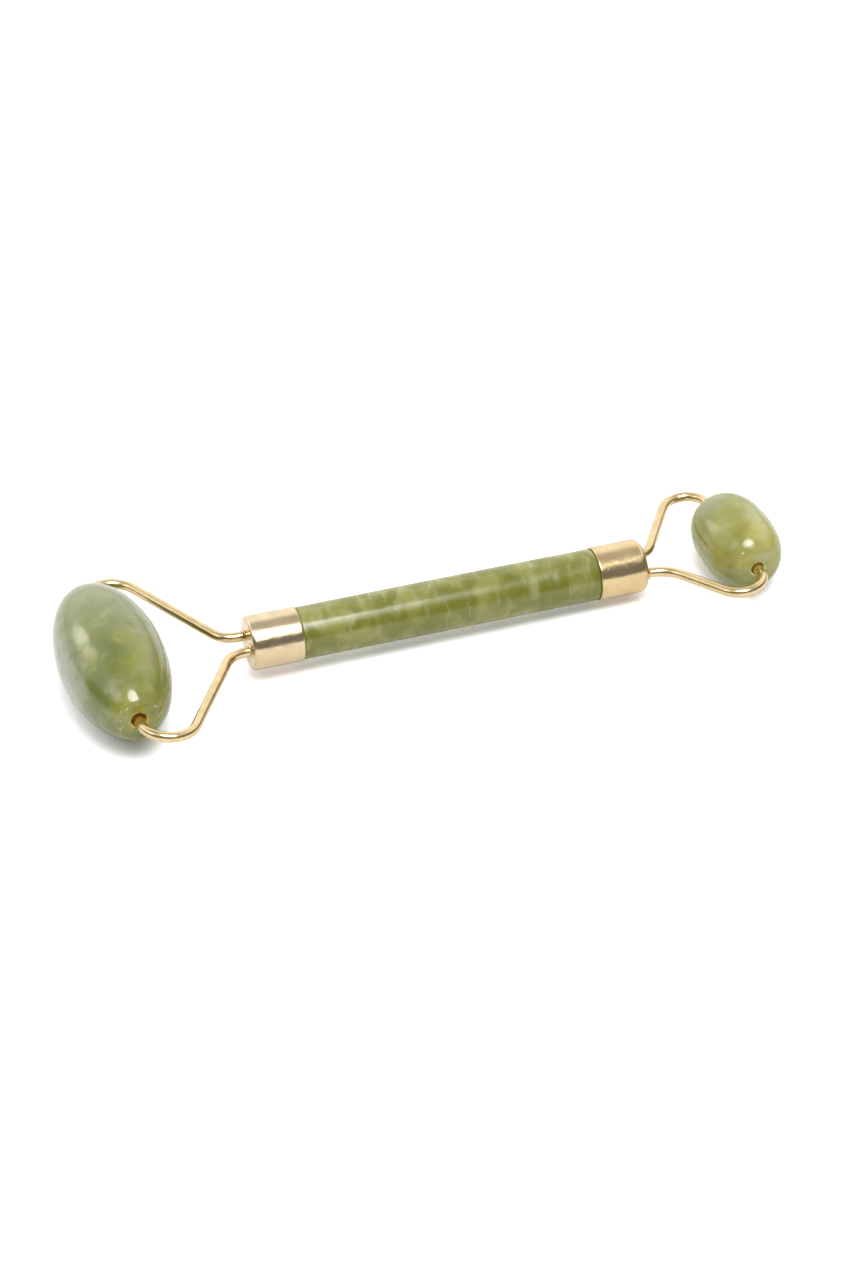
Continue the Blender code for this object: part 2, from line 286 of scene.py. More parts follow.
# Between which values of its noise each pattern comes in
CLOUD_SPAN = (0.36, 0.64)
WISP_SPAN = (0.52, 0.72)
VEIN_SPAN = (0.28, 0.48)
WISP_STRENGTH = 0.30
HANDLE_CLOUD_SPAN = (0.40, 0.62)
HANDLE_WISP_SPAN = (0.50, 0.74)
HANDLE_VEIN_SPAN = (0.26, 0.44)
HANDLE_WISP_STRENGTH = 0.6
HANDLE_VEIN_STRENGTH = 0.5
POLISH_SPAN = (0.3, 0.75)
CHIP_SPAN = (0.64, 0.72)
# Distance from their ring at which the chips begin to thin out and at which they end
CHIP_RING = (0.2, 1.0)
# The painted glow inside a bore fades from just within its wall to this far outside it
BORE_EDGE_IN, BORE_EDGE_OUT = 0.05, 0.25
# Least and greatest roughness, for a roughness of 1
JADE_ROUGHNESS_RANGE = (0.75, 1.25)

# ---- metal and hidden pieces ----
TONE_SPAN = (0.3, 0.7)
GOLD_ROUGHNESS_RANGE = (0.75, 1.35)
HIDDEN_ROUGHNESS_RANGE = (0.8, 1.2)
FERRULE_GOLD = {"large": PALE_GOLD, "small": WARM_GOLD}
FERRULE_ROUGHNESS, FERRULE_MOTTLE = 0.19, 0.009
WIRE_ROUGHNESS, WIRE_MOTTLE = 0.20, 0.001
# By the ending of the node's name: material name, two tones, metallic, roughness, pattern size
HIDDEN_LOOKS = {
    "tie_rod": ("bare_steel", (0.56, 0.56, 0.57), (0.48, 0.48, 0.49), 1.0, 0.35, 1.0),
    "plug": ("raw_brass", (0.72, 0.55, 0.28), (0.62, 0.46, 0.22), 1.0, 0.4, 1.5),
    "bond": ("cured_epoxy", (0.78, 0.74, 0.60), (0.70, 0.66, 0.50), 0.0, 0.4, 1.5),
    "liner": ("natural_nylon", (0.66, 0.50, 0.24), (0.56, 0.41, 0.18), 0.0, 0.45, 0.8),
}


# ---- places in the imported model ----
def handle_frame():
    """Matrix from the handle's own frame to the model's, in metres, from the ferrule's mount."""
    mount = next(m for m in frame["record"]["mounts"] if m["name"] == "large_ferrule_end")
    along = -Vector(mount["axis"]).normalized()
    centre = Vector(mount["pos_m"]) + along * FERRULE_END_X * MM
    across = Vector((0.0, 1.0, 0.0))
    turn = Matrix((along, across, along.cross(across))).transposed()
    return Matrix.Translation(centre) @ turn.to_4x4()


def axle_of(end):
    """A point on the axle of the large or the small roller, in metres."""
    joint = next(j for j in frame["joints"] if j["name"] == end + "_roller_spin")
    return Vector(joint["pos_m"])


REST = handle_frame()


# ---- shader nodes ----
def node(tree, kind, inputs=None, **settings):
    """A new node; an input is a number, a colour or another node's output socket."""
    made = tree.nodes.new(kind)
    for key, value in settings.items():
        setattr(made, key, value)
    for key, value in (inputs or {}).items():
        feed(tree, made.inputs[key], value)
    return made


def feed(tree, socket, value):
    """Link another socket to this one, or set its number or colour."""
    if isinstance(value, bpy.types.NodeSocket):
        tree.links.new(value, socket)
    elif socket.type == "RGBA":
        socket.default_value = (*value[:3], 1.0)
    else:
        socket.default_value = value


def number_math(tree, operation, *values):
    made = node(tree, "ShaderNodeMath", dict(enumerate(values)), operation=operation)
    return made.outputs["Value"]


def vector_math(tree, operation, *values):
    """One step of vector arithmetic; LENGTH and DOT_PRODUCT give a number."""
    made = node(tree, "ShaderNodeVectorMath", dict(enumerate(values)), operation=operation)
    return made.outputs["Value" if operation in ("LENGTH", "DOT_PRODUCT") else "Vector"]


def ramp_between(tree, value, span, at_low, at_high):
    """at_low below the span, at_high above it, and a smooth change within it."""
    inputs = {"Value": value, "From Min": span[0], "From Max": span[1]}
    inputs.update({"To Min": at_low, "To Max": at_high})
    made = node(tree, "ShaderNodeMapRange", inputs, interpolation_type="SMOOTHSTEP")
    return made.outputs["Result"]


def varied(tree, value, span, mean, shares):
    """A number that runs between two shares of its mean."""
    least, greatest = shares
    return ramp_between(tree, value, span, mean * least, mean * greatest)


def mixed(tree, factor, first, second):
    """Colour between first and second; the numbered sockets are the mix node's colour ones."""
    inputs = {0: factor, 6: first, 7: second}
    return node(tree, "ShaderNodeMix", inputs, data_type="RGBA").outputs[2]


def object_point(tree):
    """The point being shaded, in metres in the model's frame with the tool at rest."""
    return node(tree, "ShaderNodeTexCoord").outputs["Object"]


def clouds(tree, point, size_mm, detail=3.0, roughness=0.5):
    """Noise with features of about that size, from 0 to 1."""
    inputs = {"Vector": point, "Scale": 1.0 / (size_mm * MM), "Detail": detail}
    inputs["Roughness"] = roughness
    return node(tree, "ShaderNodeTexNoise", inputs).outputs["Fac"]


def drifted(tree, point, size_mm, amount_mm):
    """The point moved about by smooth noise, so that marks built on it lose their regularity."""
    inputs = {"Vector": point, "Scale": 1.0 / (size_mm * MM), "Detail": 2.0}
    colour = node(tree, "ShaderNodeTexNoise", inputs).outputs["Color"]
    centred = vector_math(tree, "SUBTRACT", colour, (0.5, 0.5, 0.5))
    reach = 2 * amount_mm * MM
    return vector_math(tree, "ADD", point, vector_math(tree, "MULTIPLY", centred, [reach] * 3))


def bump(tree, surface, height, strength, distance_mm):
    inputs = {"Height": height, "Strength": strength, "Distance": distance_mm * MM}
    feed(tree, surface.inputs["Normal"], node(tree, "ShaderNodeBump", inputs).outputs["Normal"])


def new_material(name):
    material = bpy.data.materials.new(name)
    material.use_nodes = True
    return material, material.node_tree, material.node_tree.nodes["Principled BSDF"]


# ---- camera, floor and light ----
def make_camera():
    a, e, roll = CAMERA_AZIMUTH, CAMERA_ELEVATION, CAMERA_ROLL
    back = Vector((math.sin(a) * math.cos(e), -math.cos(a) * math.cos(e), math.sin(e)))
    right = Vector((math.cos(a), math.sin(a), 0.0))
    up = back.cross(right)
    rolled_right = right * math.cos(roll) + up * math.sin(roll)
    rolled_up = up * math.cos(roll) - right * math.sin(roll)
    turn = Matrix((rolled_right, rolled_up, back)).transposed()
    place = Matrix.Translation(turn @ Vector(CAMERA_OFFSET) * MM) @ turn.to_4x4()
    data = bpy.data.cameras.new("camera")
    data.sensor_width = SENSOR_MM
    data.lens = LENS_MM
    data.clip_start = CLIP_START_M
    data.clip_end = CLIP_END_M
    camera = bpy.data.objects.new("camera", data)
    camera.matrix_world = REST @ place
    bpy.context.scene.collection.objects.link(camera)
    bpy.context.scene.camera = camera


def make_floor():
    half = FLOOR_HALF_M
    mesh = bpy.data.meshes.new("floor")
    corners = [(-half, -half, 0.0), (half, -half, 0.0), (half, half, 0.0), (-half, half, 0.0)]
    mesh.from_pydata(corners, [], [(0, 1, 2, 3)])
    floor = bpy.data.objects.new("floor", mesh)
    bpy.context.scene.collection.objects.link(floor)
    mesh.materials.append(white_sweep())
    floor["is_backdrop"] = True


def white_sweep():
    """Plain white, and bleached where the camera sees it directly."""
    material, tree, surface = new_material("white_sweep")
    seen = node(tree, "ShaderNodeLightPath").outputs["Is Camera Ray"]
    feed(tree, surface.inputs["Base Color"], mixed(tree, seen, FLOOR_WHITE, BLEACHED_WHITE))
    surface.inputs["Roughness"].default_value = FLOOR_ROUGHNESS
    surface.inputs["Specular IOR Level"].default_value = FLOOR_SPECULAR
    return material


def make_lamp(name, azimuth, elevation, width, height, brightness, distance):
    """An elliptical soft lamp, facing the object; LAMPS says what the values are."""
    a, e = math.radians(azimuth), math.radians(elevation)
    out = Vector((math.sin(a) * math.cos(e), math.cos(a) * math.cos(e), math.sin(e)))
    data = bpy.data.lights.new(name, "AREA")
    data.shape = "ELLIPSE"
    data.size = 2 * distance * math.tan(math.radians(width / 2))
    data.size_y = 2 * distance * math.tan(math.radians(height / 2))
    area = data.size * data.size_y * math.pi / 4
    data.energy = brightness * math.pi * area
    lamp = bpy.data.objects.new(name, data)
    lamp.location = out * distance
    lamp.rotation_mode = "QUATERNION"
    lamp.rotation_quaternion = out.to_track_quat("Z", "Y")
    lamp.visible_camera = False
    bpy.context.scene.collection.objects.link(lamp)


def make_world():
    """The room that the object mirrors; the camera itself sees it plain white."""
    world = bpy.data.worlds.new("studio")
    world.use_nodes = True
    bpy.context.scene.world = world
    tree = world.node_tree
    background = tree.nodes["Background"]
    towards = node(tree, "ShaderNodeTexCoord").outputs["Generated"]
    tilt = math.radians(BACKDROP_TILT)
    facing = vector_math(tree, "DOT_PRODUCT", towards, (0.0, math.cos(tilt), math.sin(tilt)))
    height = node(tree, "ShaderNodeSeparateXYZ", {"Vector": towards}).outputs["Z"]
    walls = ramp_between(tree, facing, BACKDROP_SPAN, FRONT_BRIGHTNESS, BACKDROP_BRIGHTNESS)
    ceiling = ramp_between(tree, height, CEILING_SPAN, 1.0, CEILING_SHARE)
    room = number_math(tree, "MULTIPLY", walls, ceiling)
    seen = node(tree, "ShaderNodeLightPath").outputs["Is Camera Ray"]
    strength = node(tree, "ShaderNodeMix", {"Factor": seen, "A": room, "B": 1.0})
    feed(tree, background.inputs["Strength"], strength.outputs["Result"])
    background.inputs["Color"].default_value = WHITE
    bpy.context.scene.view_settings.view_transform = "Standard"


# ---- materials ----
def jade_stone(end):
    """Clouded jade with patches of colour, milky wisps and dark veins, chipped at its edges."""
    look, bore_r = STONE_LOOKS[end], STONES[end]["bore_r"]
    material, tree, surface = new_material(end + "_stone_jade")
    point = object_point(tree)
    broad_point = drifted(tree, point, size_mm=8.0, amount_mm=3.0)
    fine_point = drifted(tree, point, size_mm=4.0, amount_mm=1.5)
    broad = clouds(tree, broad_point, size_mm=10.0, detail=2.0)
    fine = clouds(tree, fine_point, size_mm=3.0, detail=4.0, roughness=0.55)
    base = mixed(tree, ramp_between(tree, broad, CLOUD_SPAN, 0.0, 1.0), *look["tones"])
    mark_point = drifted(tree, point, size_mm=5.0, amount_mm=1.6)
    base = marked(tree, mark_point, base, look["marks"])
    base = mixed(tree, ramp_between(tree, fine, WISP_SPAN, 0.0, WISP_STRENGTH), base, MILKY)
    base = mixed(tree, ramp_between(tree, fine, VEIN_SPAN, look["veins"], 0.0), base, DEEP)
    distance = from_axle(tree, point, axle_of(end))
    for ring_r in (STONES[end]["arris_r"], bore_r + BORE_EDGE_OUT):
        base = chipped(tree, point, base, distance, ring_r, look["chips"])
    bore_span = (bore_r - BORE_EDGE_IN, bore_r + BORE_EDGE_OUT)
    # painted glow: the bore's wall coloured bright, for light through the jade and the wire's reflection
    base = mixed(tree, ramp_between(tree, distance, bore_span, 1.0, 0.0), base, look["bore_painted_glow"])
    finish_jade(tree, surface, point, base, look["roughness"], STONE_GLOW)
    return material


def jade_handle():
    """The handle's jade, clouded in patches with milky streaks that run round it."""
    material, tree, surface = new_material("handle_jade")
    point = object_point(tree)
    moved = drifted(tree, point, size_mm=5.0, amount_mm=1.6)
    broad = clouds(tree, moved, size_mm=6.0, detail=2.0)
    stretch = {"Vector": moved, "Scale": (1.0, 0.30, 0.30)}
    streaks = node(tree, "ShaderNodeMapping", stretch).outputs["Vector"]
    bands = clouds(tree, streaks, size_mm=1.5, detail=4.0)
    base = mixed(tree, ramp_between(tree, broad, HANDLE_CLOUD_SPAN, 0.0, 1.0), MOSS, LEAF)
    marks = [(REST @ (Vector(centre) * MM) / MM, *rest) for centre, *rest in HANDLE_MARKS]
    base = marked(tree, moved, base, marks)
    wisps = ramp_between(tree, bands, HANDLE_WISP_SPAN, 0.0, HANDLE_WISP_STRENGTH)
    base = mixed(tree, wisps, base, MILKY)
    veins = ramp_between(tree, bands, HANDLE_VEIN_SPAN, HANDLE_VEIN_STRENGTH, 0.0)
    base = mixed(tree, veins, base, DEEP)
    finish_jade(tree, surface, point, base, HANDLE_ROUGHNESS, HANDLE_GLOW)
    return material


def marked(tree, point, base, marks):
    """Base with soft ellipsoids of colour; their places are in the model's frame."""
    for centre, size, colour, strength in marks:
        away = vector_math(tree, "SUBTRACT", point, Vector(centre) * MM)
        shares = vector_math(tree, "DIVIDE", away, Vector(size) * MM)
        length = vector_math(tree, "LENGTH", shares)
        base = mixed(tree, ramp_between(tree, length, MARK_FADE, strength, 0.0), base, colour)
    return base


def from_axle(tree, point, axle):
    """Distance from the axle's line, in millimetres."""
    away = vector_math(tree, "SUBTRACT", point, axle)
    flat = vector_math(tree, "MULTIPLY", away, (1 / MM, 0.0, 1 / MM))
    return vector_math(tree, "LENGTH", flat)


def chipped(tree, point, base, distance, ring_mm, strength):
    """Tiny pale chips along a ring round the axle, such as the edge of a ground end."""
    gap = number_math(tree, "ABSOLUTE", number_math(tree, "SUBTRACT", distance, ring_mm))
    ring = ramp_between(tree, gap, CHIP_RING, 1.0, 0.0)
    grain = clouds(tree, point, size_mm=0.45, detail=2.0)
    speck = ramp_between(tree, grain, CHIP_SPAN, 0.0, strength)
    return mixed(tree, number_math(tree, "MULTIPLY", ring, speck), base, CHIP)


def finish_jade(tree, surface, point, colour, roughness, glow_mm):
    """Polish, translucency and the faint unevenness that every jade piece has."""
    feed(tree, surface.inputs["Base Color"], colour)
    polish = clouds(tree, point, size_mm=2.0, detail=4.0)
    rough = varied(tree, polish, POLISH_SPAN, roughness, JADE_ROUGHNESS_RANGE)
    feed(tree, surface.inputs["Roughness"], rough)
    surface.inputs["IOR"].default_value = JADE_IOR
    surface.inputs["Subsurface Weight"].default_value = JADE_GLOW_WEIGHT
    surface.inputs["Subsurface Radius"].default_value = JADE_GLOW_RADIUS
    surface.inputs["Subsurface Scale"].default_value = glow_mm * MM
    bump(tree, surface, clouds(tree, point, size_mm=0.9), strength=0.05, distance_mm=0.05)


def gold(name, tones, roughness, mottle):
    """Gold plating over brass; mottle is the depth in mm of its faint unevenness."""
    material, tree, surface = new_material(name)
    point = object_point(tree)
    tone = clouds(tree, point, size_mm=3.0, detail=4.0)
    colour = mixed(tree, ramp_between(tree, tone, TONE_SPAN, 0.0, 1.0), *tones)
    feed(tree, surface.inputs["Base Color"], colour)
    surface.inputs["Metallic"].default_value = 1.0
    wear = clouds(tree, point, size_mm=0.8, detail=5.0, roughness=0.65)
    rough = varied(tree, wear, POLISH_SPAN, roughness, GOLD_ROUGHNESS_RANGE)
    feed(tree, surface.inputs["Roughness"], rough)
    grain = clouds(tree, point, size_mm=0.5, detail=4.0, roughness=0.6)
    bump(tree, surface, grain, strength=1.0, distance_mm=mottle)
    return material


def plain_stuff(name, first, second, metallic, roughness, size_mm):
    """A quiet two-tone material for the pieces hidden inside the tool."""
    material, tree, surface = new_material(name)
    tone = clouds(tree, object_point(tree), size_mm, detail=4.0)
    colour = mixed(tree, ramp_between(tree, tone, TONE_SPAN, 0.0, 1.0), first, second)
    feed(tree, surface.inputs["Base Color"], colour)
    surface.inputs["Metallic"].default_value = metallic
    rough = varied(tree, tone, TONE_SPAN, roughness, HIDDEN_ROUGHNESS_RANGE)
    feed(tree, surface.inputs["Roughness"], rough)
    return material


def paint_hidden_pieces():
    for ending, look in HIDDEN_LOOKS.items():
        material = plain_stuff(*look)
        for name, obj in frame["nodes"].items():
            if name.endswith(ending):
                obj.data.materials.clear()
                obj.data.materials.append(material)


# ---- mesh building ----
def new_piece(name, points, faces, material, node_name, body, sharp=30.0):
    """A smooth-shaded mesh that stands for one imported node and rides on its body."""
    mesh = bpy.data.meshes.new(name)
    mesh.from_pydata(points, [], faces)
    mesh.validate()
    mesh.shade_smooth()
    mesh.set_sharp_from_angle(angle=math.radians(sharp))
    mesh.materials.append(material)
    piece = bpy.data.objects.new(name, mesh)
    bpy.context.scene.collection.objects.link(piece)
    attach(piece, body)
    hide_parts(node_name)
    return piece


def placed(points, matrix):
    """Points in millimetres, moved into the model's frame and metres."""
    return [matrix @ (point * MM) for point in points]


def along_axis(side):
    """Local Z along the handle's axis, pointing away from the handle's middle."""
    return Matrix.Rotation(side * math.pi / 2, 4, "Y")


def revolved(profile, sides, ring, shape=None):
    """Points and faces of a solid of revolution about local Z. The profile lists (radius,
    height) down the outer side; a ring's profile closes on itself, and any other begins and
    ends on the axis. shape moves each point a little."""
    points, faces = [], []
    rows = []
    for radius, height in profile:
        count = 1 if radius == 0.0 else sides
        rows.append(range(len(points), len(points) + count))
        for k in range(count):
            angle = 2 * math.pi * k / sides
            point = Vector((radius * math.cos(angle), radius * math.sin(angle), height))
            points.append(shape(point) if shape else point)
    pairs = list(zip(rows, rows[1:]))
    if ring:
        pairs.append((rows[-1], rows[0]))
    for upper, lower in pairs:
        for k in range(sides):
            after = (k + 1) % sides
            corners = [upper[k % len(upper)], lower[k % len(lower)],
                       lower[after % len(lower)], upper[after % len(upper)]]
            kept = [c for i, c in enumerate(corners) if c != corners[i - 1]]
            faces.append(tuple(kept))
    return points, faces


def evenly(start, end, count):
    """count points from start up to but without end."""
    return [tuple(a + (b - a) * i / count for a, b in zip(start, end)) for i in range(count)]


def quarter(radius, centre_r, centre_h, steps, start=90):
    """A quarter circle of a profile: from the top of an edge to its side, or from the side to
    the face below it with a start of 0 degrees."""
    angles = [math.radians(start) - math.pi / 2 * i / steps for i in range(steps + 1)]
    return [(centre_r + radius * math.cos(a), centre_h + radius * math.sin(a)) for a in angles]


def swirl(point, size, seed):
    """Smooth noise between about -1 and 1, with features of that size."""
    return noise.noise(point / size + Vector((seed, seed * 0.7, -seed * 1.3)))


def waves(point, layers, seed):
    """Height of a wavy surface above its mean."""
    return sum(depth * swirl(point, size, seed + step) for depth, size, step in layers)


# ---- handle ----
def handle_profile():
    shoulder, chamfer = HANDLE_SHOULDER_X, SPIGOT_CHAMFER
    swell = HANDLE_MID_R - HANDLE_END_R
    half = [(SPIGOT_R - chamfer, SPIGOT_END_X), (SPIGOT_R, SPIGOT_END_X - chamfer)]
    half += evenly((SPIGOT_R, SPIGOT_END_X - 1.0), (SPIGOT_R, shoulder), 3)
    half += evenly((SPIGOT_R, shoulder), (HANDLE_END_R - SHOULDER_ROUND, shoulder), 2)
    half += quarter(SHOULDER_ROUND, HANDLE_END_R - SHOULDER_ROUND, shoulder - SHOULDER_ROUND, 5)
    for i in range(1, HANDLE_ROWS):
        x = (shoulder - SHOULDER_ROUND) * (1 - i / HANDLE_ROWS)
        half.append((HANDLE_END_R + swell * (1 - (x / shoulder) ** 2), x))
    profile = half + [(HANDLE_MID_R, 0.0)]
    profile += [(radius, -height) for radius, height in reversed(half)]
    profile += evenly((HANDLE_BORE_R, -SPIGOT_END_X), (HANDLE_BORE_R, SPIGOT_END_X), 12)
    profile.append((HANDLE_BORE_R, SPIGOT_END_X))
    return profile


def handle_shape(point):
    """Hand-polished waviness of the grip between the ferrules."""
    radius = math.hypot(point.x, point.y)
    if radius < HANDLE_END_R - 0.4 or abs(point.z) > HANDLE_SHOULDER_X - 0.3:
        return point
    squeezed = Vector((point.x, point.y, point.z * 0.8))
    depth = waves(squeezed, HANDLE_WAVES, HANDLE_SEED)
    scale = 1 - (HANDLE_SET_BACK - depth) / radius
    return Vector((point.x * scale, point.y * scale, point.z))


def make_handle():
    points, faces = revolved(handle_profile(), HANDLE_SIDES, True, handle_shape)
    new_piece("jade_handle", placed(points, REST @ along_axis(1)), faces, jade_handle(),
              "handle", "handle_frame")


# ---- ferrules ----
def ferrule_profile(edge_round):
    """Down the outside of the cup from the middle of its end, then up the inside."""
    flat = FERRULE_R - edge_round
    side_top, side_bottom = FERRULE_END_X - edge_round, FERRULE_RIM_X + RIM_ROUND
    inner_r, floor_x = FERRULE_INNER_R, FERRULE_FLOOR_X
    profile = [(0.0, FERRULE_END_X)]
    end_rings = round(flat / FERRULE_END_STEP)
    profile += evenly((FERRULE_END_STEP, FERRULE_END_X), (flat, FERRULE_END_X), end_rings)
    profile += quarter(edge_round, flat, side_top, 10)
    profile += evenly((FERRULE_R, side_top), (FERRULE_R, side_bottom), FERRULE_ROWS)[1:]
    profile += quarter(RIM_ROUND, FERRULE_R - RIM_ROUND, side_bottom, 6, start=0)
    profile.append((inner_r + RIM_CHAMFER, FERRULE_RIM_X))
    profile += evenly((inner_r, FERRULE_RIM_X + RIM_CHAMFER), (inner_r, floor_x), 8)
    profile += evenly((inner_r - FLOOR_FILLET, floor_x), (0.0, floor_x), 12)
    profile.append((0.0, floor_x))
    return profile


def ferrule_shaper(wires, seed):
    """Uneven drawn metal, with a raised meniscus of solder where each wire goes in."""
    def side_shape(point, radius):
        drawn = Vector((point.x, point.y, point.z * 0.6))
        scale = 1 + (waves(drawn, FERRULE_WAVES, seed) - FERRULE_SET_BACK) / radius
        return Vector((point.x * scale, point.y * scale, point.z))

    def end_shape(point):
        lift = waves(point, FERRULE_END_WAVES, seed) - FERRULE_END_SET_BACK
        for arm, sign in ARMS.items():
            away = max(math.hypot(point.x, point.y - sign * wires[arm][0]) - WIRE_R, 0.0)
            lump = 1.0 + SOLDER_LUMPS * swirl(point, SOLDER_LUMP_SIZE, seed + 11)
            lift += SOLDER_HEIGHT * lump * math.exp(-((away / SOLDER_SPREAD) ** SOLDER_POWER))
        return point + Vector((0.0, 0.0, lift))

    def shape(point):
        radius = math.hypot(point.x, point.y)
        if radius > FERRULE_INNER_R + 0.2 and point.z < FERRULE_END_X - 0.1:
            return side_shape(point, radius)
        if point.z > FERRULE_END_X - 0.05:
            return end_shape(point)
        return point
    return shape


def make_ferrule(end):
    side, wires = SIDES[end], WIRES[end]
    shape = ferrule_shaper(wires, FERRULE_SEED[end])
    profile = ferrule_profile(FERRULE_EDGE_ROUND[end])
    points, faces = revolved(profile, FERRULE_SIDES, False, shape)
    node_name = end + "_ferrule"
    material = gold(node_name + "_plating", FERRULE_GOLD[end], FERRULE_ROUGHNESS, FERRULE_MOTTLE)
    piece = new_piece("gold_" + node_name, placed(points, REST @ along_axis(side)), faces,
                      material, node_name, "handle_frame", sharp=50.0)
    for arm, sign in ARMS.items():
        shift = Matrix.Translation((0.0, sign * wires[arm][0] * MM, 0.0))
        drill_socket(piece, REST @ shift @ along_axis(side))


def drill_socket(piece, place):
    """Cut the hole for a wire out of a ferrule and keep the result as the ferrule's own mesh."""
    profile = [(0.0, SOCKET_TOP_X), (SOCKET_R, SOCKET_TOP_X),
               (SOCKET_R, SOCKET_BOTTOM_X), (0.0, SOCKET_BOTTOM_X)]
    points, faces = revolved(profile, SOCKET_SIDES, False)
    mesh = bpy.data.meshes.new("drill")
    mesh.from_pydata(placed(points, place), [], faces)
    cutter = bpy.data.objects.new("drill", mesh)
    bpy.context.scene.collection.objects.link(cutter)
    hole = piece.modifiers.new("hole", "BOOLEAN")
    hole.operation = "DIFFERENCE"
    hole.solver = "EXACT"
    hole.object = cutter
    bpy.context.view_layer.update()
    ready = piece.evaluated_get(bpy.context.evaluated_depsgraph_get())
    result = bpy.data.meshes.new_from_object(ready)
    piece.modifiers.remove(hole)
    piece.data = result
    bpy.data.objects.remove(cutter)


# ---- wires ----
def bend(before, corner, after, radius, steps):
    """Points of the arc that rounds a corner of a wire."""
    to_before = (before - corner).normalized()
    to_after = (after - corner).normalized()
    half = to_before.angle(to_after) / 2
    centre = corner + (to_before + to_after).normalized() * radius / math.sin(half)
    first = corner + to_before * radius / math.tan(half) - centre
    last = corner + to_after * radius / math.tan(half) - centre
    turn = math.pi - 2 * half
    axis = first.cross(last)
    return [centre + Matrix.Rotation(turn * i / steps, 3, axis) @ first for i in range(steps + 1)]


def wire_path(side, sign, wire, axle_place, pin_end_y):
    """From inside the ferrule, out along the yoke, round the hook and in along the pin."""
    wire_y, bend_x, corner_y, bend_r, hook_r = wire
    axle_x, axle_z = axle_place
    start = Vector((side * WIRE_START_X, sign * wire_y, 0.0))
    first = Vector((side * bend_x, sign * wire_y, 0.0))
    corner = Vector((side * axle_x, sign * corner_y, axle_z))
    pin_end = Vector((side * axle_x, sign * pin_end_y, axle_z))
    first_bend = bend(start, first, corner, bend_r, BEND_STEPS)
    hook = bend(first, corner, pin_end, hook_r, HOOK_STEPS)
    path = [start.lerp(first_bend[0], i / 12) for i in range(12)]
    path += first_bend
    path += [first_bend[-1].lerp(hook[0], i / 40) for i in range(1, 40)]
    path += hook
    path += [hook[-1].lerp(pin_end, i / 20) for i in range(1, 21)]
    return eased(path)


def eased(path):
    """The path in equal steps, its bends running softly into the straights."""
    lengths = [0.0]
    for before, after in zip(path, path[1:]):
        lengths.append(lengths[-1] + (after - before).length)
    count = round(lengths[-1] / WIRE_STEP)
    points, i = [], 0
    for k in range(count + 1):
        along = lengths[-1] * k / count
        while i < len(path) - 2 and lengths[i + 1] < along:
            i += 1
        share = (along - lengths[i]) / (lengths[i + 1] - lengths[i])
        points.append(path[i].lerp(path[i + 1], share))
    for _ in range(EASING_PASSES):
        inner = [(a + 2 * b + c) / 4 for a, b, c in zip(points, points[1:], points[2:])]
        points = [points[0], *inner, points[-1]]
    return points


def tube_mesh(path, radius, sides, seed):
    """A round wire along the path, with faint drawing marks and flat cut ends."""
    points, faces = [], []
    ahead = (path[1] - path[0]).normalized()
    across = ahead.orthogonal().normalized()
    for i, centre in enumerate(path):
        step = path[min(i + 1, len(path) - 1)] - path[max(i - 1, 0)]
        ahead = step.normalized()
        across = (across - ahead * across.dot(ahead)).normalized()
        third = ahead.cross(across)
        for k in range(sides):
            angle = 2 * math.pi * k / sides
            out = across * math.cos(angle) + third * math.sin(angle)
            mark = Vector((math.cos(angle), math.sin(angle), i * 0.02)) * radius
            depth = waves(mark, WIRE_WAVES, seed) - WIRE_SET_BACK
            points.append(centre + out * (radius + depth))
    rows = len(path)
    for i in range(rows - 1):
        for k in range(sides):
            after = (k + 1) % sides
            faces.append((i * sides + k, i * sides + after,
                          (i + 1) * sides + after, (i + 1) * sides + k))
    faces.append(tuple(reversed(range(sides))))
    faces.append(tuple(range((rows - 1) * sides, rows * sides)))
    return points, faces


def make_yoke(end):
    material = gold(end + "_yoke_plating", WARM_GOLD, WIRE_ROUGHNESS, WIRE_MOTTLE)
    for arm, sign in ARMS.items():
        node_name = end + "_yoke_" + arm + "_arm"
        path = wire_path(SIDES[end], sign, WIRES[end][arm], AXLE_PLACE[end], PIN_END_Y[end])
        points, faces = tube_mesh(path, WIRE_R, WIRE_SIDES, WIRE_SEED[end] + sign)
        new_piece("gold_" + node_name, placed(points, REST), faces, material, node_name,
                  "handle_frame")


# ---- stones ----
def stone_profile(form):
    """Down the outer side of the barrel from mouth to mouth, then back up through the bore."""
    radius, half, bore_r = form["radius"], form["half"], form["bore_r"]
    length_power, radius_power = form["length_power"], form["radius_power"]
    ground_half, ground_power = form["ground_half"], form["ground_power"]
    mouth_r = bore_r + MOUTH_CHAMFER
    reach = (1 - (mouth_r / radius) ** radius_power) ** (1 / length_power)
    tip = math.acos(reach)
    profile = []
    for i in range(STONE_ROWS + 1):
        height = half * math.cos(tip + (math.pi - 2 * tip) * i / STONE_ROWS)
        share = max(1 - abs(height / half) ** length_power, 0.0)
        trim = (1 + abs(height / ground_half) ** ground_power) ** (1 / ground_power)
        profile.append((radius * share ** (1 / radius_power), height / trim))
    mouth = profile[0][1]
    bore = [(bore_r + 0.05, mouth - 0.04), (bore_r, mouth - 0.14), (bore_r, mouth - 0.5)]
    bore += [(bore_r, mouth - 1.0 - i) for i in range(int(mouth) - 1)]
    profile += [(r, -h) for r, h in bore]
    profile += [(r, h) for r, h in reversed(bore)]
    return profile


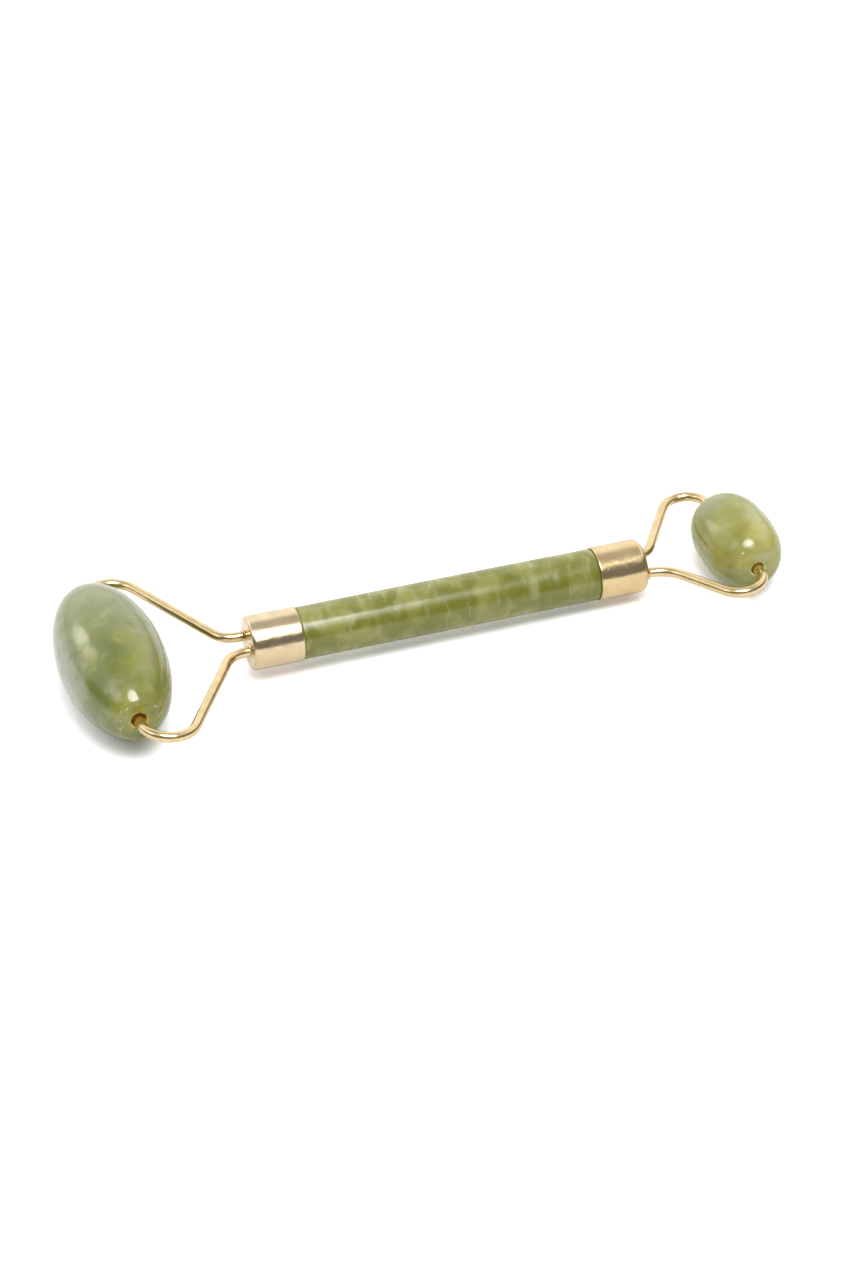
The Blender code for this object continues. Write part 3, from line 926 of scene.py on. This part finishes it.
def edge_chips(arris_r, arris_h, seed):
    """Places, sizes and depths of the small chips round the edges of both ground ends."""
    draw = random.Random(seed)
    chips = []
    for end in (-1, 1):
        for _ in range(CHIPS_PER_END):
            angle = draw.uniform(0, 2 * math.pi)
            radius = arris_r + draw.uniform(-CHIP_SCATTER, CHIP_SCATTER)
            place = Vector((radius * math.cos(angle), radius * math.sin(angle), end * arris_h))
            chips.append((place, draw.uniform(*CHIP_SIZES), draw.uniform(*CHIP_DEPTHS)))
    return chips


def stone_shaper(form, mouth, chips):
    """Hand-cut unevenness of a stone, growing towards chips at the edge of its bore."""
    radius, bore_r, seed = form["radius"], form["bore_r"], form["seed"]

    def shape(point):
        around = math.hypot(point.x, point.y)
        if around < bore_r + 0.01:
            return point
        inward = STONE_SET_BACK - waves(point, STONE_WAVES, seed)
        for place, size, depth in chips:
            away = (point - place).length
            if away < 2 * size:
                inward += depth * math.exp(-((away / size) ** 2))
        moved = point * (1 - inward / radius)
        edge = math.exp(-(((around - bore_r) / EDGE_REACH) ** 2))
        if edge > 0.01 and abs(point.z) > mouth - 1.0:
            on_edge = Vector((point.x, point.y, point.z * 0.2)) / around * bore_r
            bite = max(swirl(on_edge, EDGE_CHIP_SIZE, seed + 9), 0.0)
            chip = bite * EDGE_CHIP_DEPTH + EDGE_WORN
            moved.x *= 1 + edge * chip / around
            moved.y *= 1 + edge * chip / around
            moved.z -= math.copysign(edge * chip * EDGE_SLOPE, point.z)
        return moved
    return shape


def make_stone(end):
    form = STONES[end]
    profile = stone_profile(form)
    upper_half = profile[:STONE_ROWS // 2]
    arris = min(upper_half, key=lambda row: abs(row[0] - form["arris_r"]))
    chips = edge_chips(*arris, form["seed"]) + form["pits"]
    shape = stone_shaper(form, profile[0][1], chips)
    points, faces = revolved(profile, STONE_SIDES, True, shape)
    place = Matrix.Translation(axle_of(end)) @ Matrix.Rotation(-math.pi / 2, 4, "X")
    node_name = end + "_roller"
    new_piece("jade_" + node_name, placed(points, place), faces, jade_stone(end), node_name,
              node_name, sharp=60.0)


# ---- the tool in its studio ----
make_camera()
make_floor()
for lamp_name, lamp_values in LAMPS.items():
    make_lamp(lamp_name, *lamp_values)
make_world()
paint_hidden_pieces()
make_handle()
for make in (make_ferrule, make_yoke, make_stone):
    for end_name in SIDES:
        make(end_name)

boxes = {"cad": cad_box, "visual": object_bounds()}
{name: [list(corner) for corner in box] for name, box in boxes.items()}
